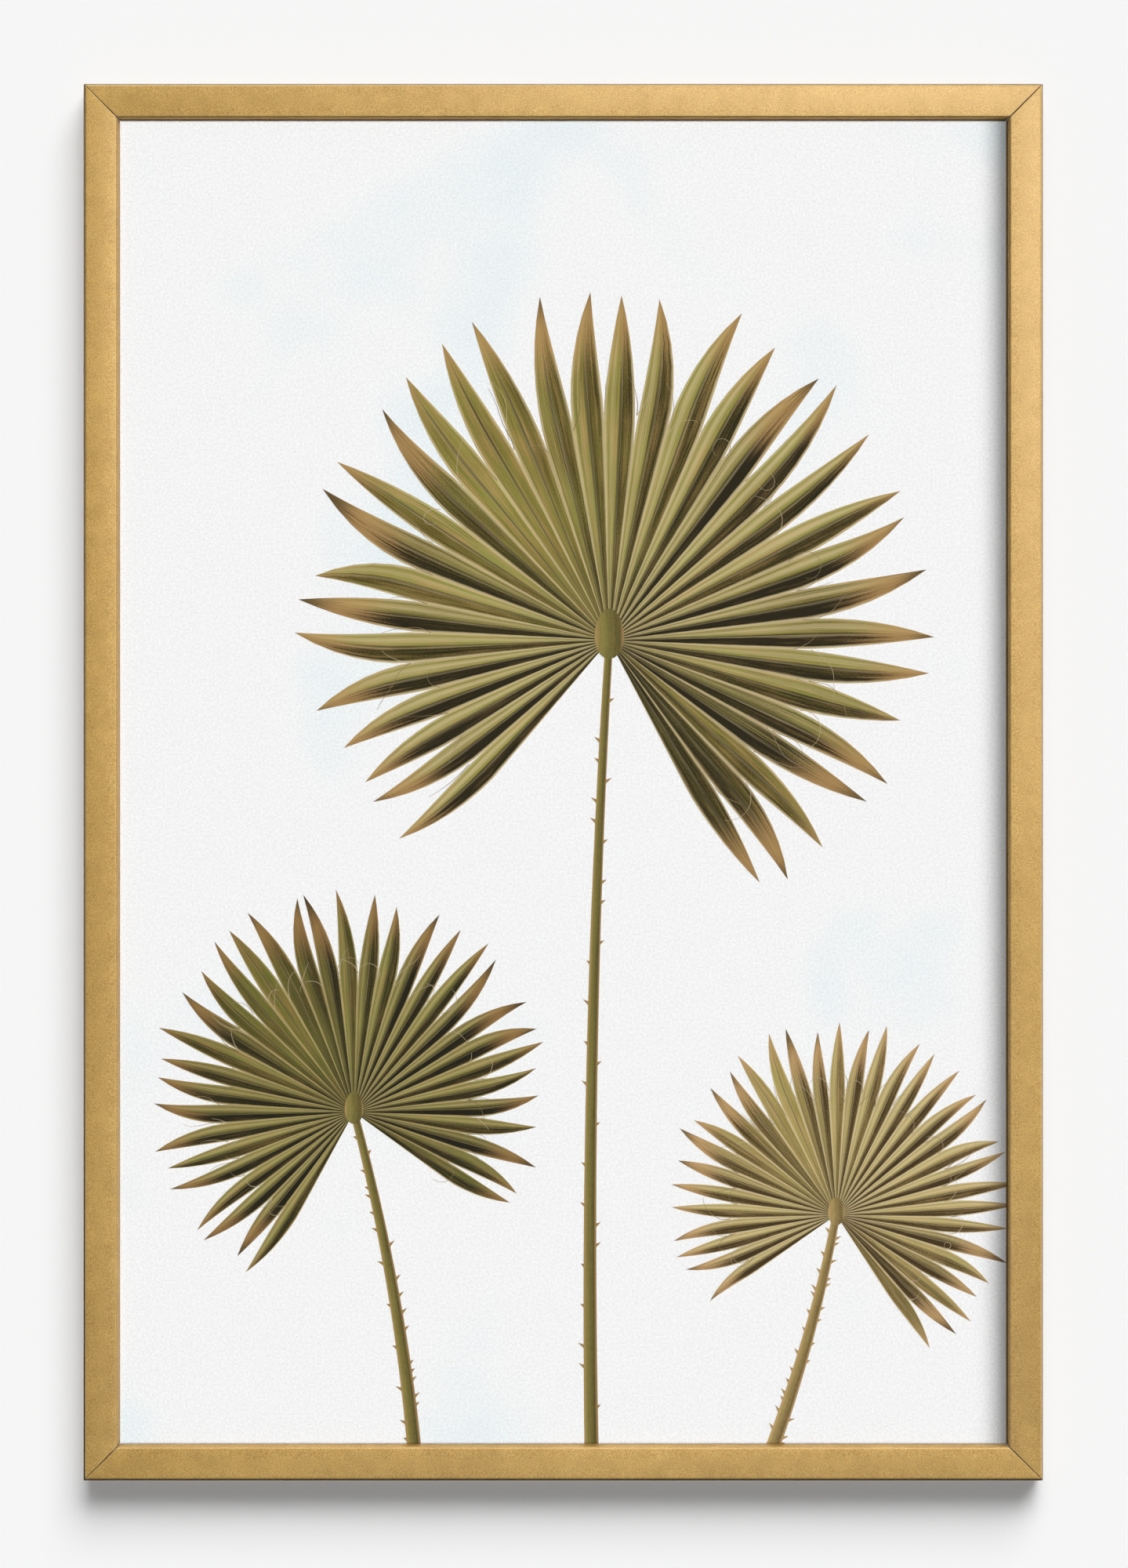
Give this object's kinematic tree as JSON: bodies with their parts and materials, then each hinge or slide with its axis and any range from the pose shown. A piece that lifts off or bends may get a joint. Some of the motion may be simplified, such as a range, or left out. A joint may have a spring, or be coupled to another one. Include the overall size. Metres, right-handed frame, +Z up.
{
  "type": "framed art print",
  "caption": "Slim mitred gold picture frame for wall hanging, with clear glazing over a printed fan palm design, a hardboard back and a sawtooth hanger.",
  "frame": {"origin": "middle notch of the sawtooth hanger, on the wall plane, where the wall nail carries the frame", "axes": "+Z up, +Y from the front of the picture towards the wall, +X to the right when looking at the picture"},
  "size_m": [0.54, 0.027, 0.786],
  "materials": {
    "moulding": "satin",
    "glazing": "polished",
    "ink_olive": "matte",
    "ink_moss": "matte",
    "ink_tan": "matte",
    "print_paper": "matte",
    "card": "matte",
    "hardboard": "matte",
    "steel": "satin",
    "bumper": "matte"
  },
  "bodies": {
    "root": {"rail_top": "moulding", "tab_top_1": "steel", "tab_top_2": "steel", "tab_top_3": "steel", "rail_right": "moulding", "tab_right_1": "steel", "tab_right_2": "steel", "tab_right_3": "steel", "tab_right_4": "steel", "rail_bottom": "moulding", "tab_bottom_1": "steel", "tab_bottom_2": "steel", "tab_bottom_3": "steel", "rail_left": "moulding", "tab_left_1": "steel", "tab_left_2": "steel", "tab_left_3": "steel", "tab_left_4": "steel", "corner_nail_1_1": "steel", "corner_nail_1_2": "steel", "corner_nail_2_1": "steel", "corner_nail_2_2": "steel", "corner_nail_3_1": "steel", "corner_nail_3_2": "steel", "corner_nail_4_1": "steel", "corner_nail_4_2": "steel", "glazing": "glazing", "printed_palm_1": "ink_olive", "printed_palm_2": "ink_moss", "printed_palm_3": "ink_tan", "print_sheet": "print_paper", "backing_card": "card", "backing_board": "hardboard", "sawtooth_hanger": "steel", "hanger_screw_1": "steel", "hanger_screw_2": "steel", "bumper_1": "bumper", "bumper_2": "bumper", "bumper_3": "bumper", "bumper_4": "bumper"}
  },
  "joints": []
}
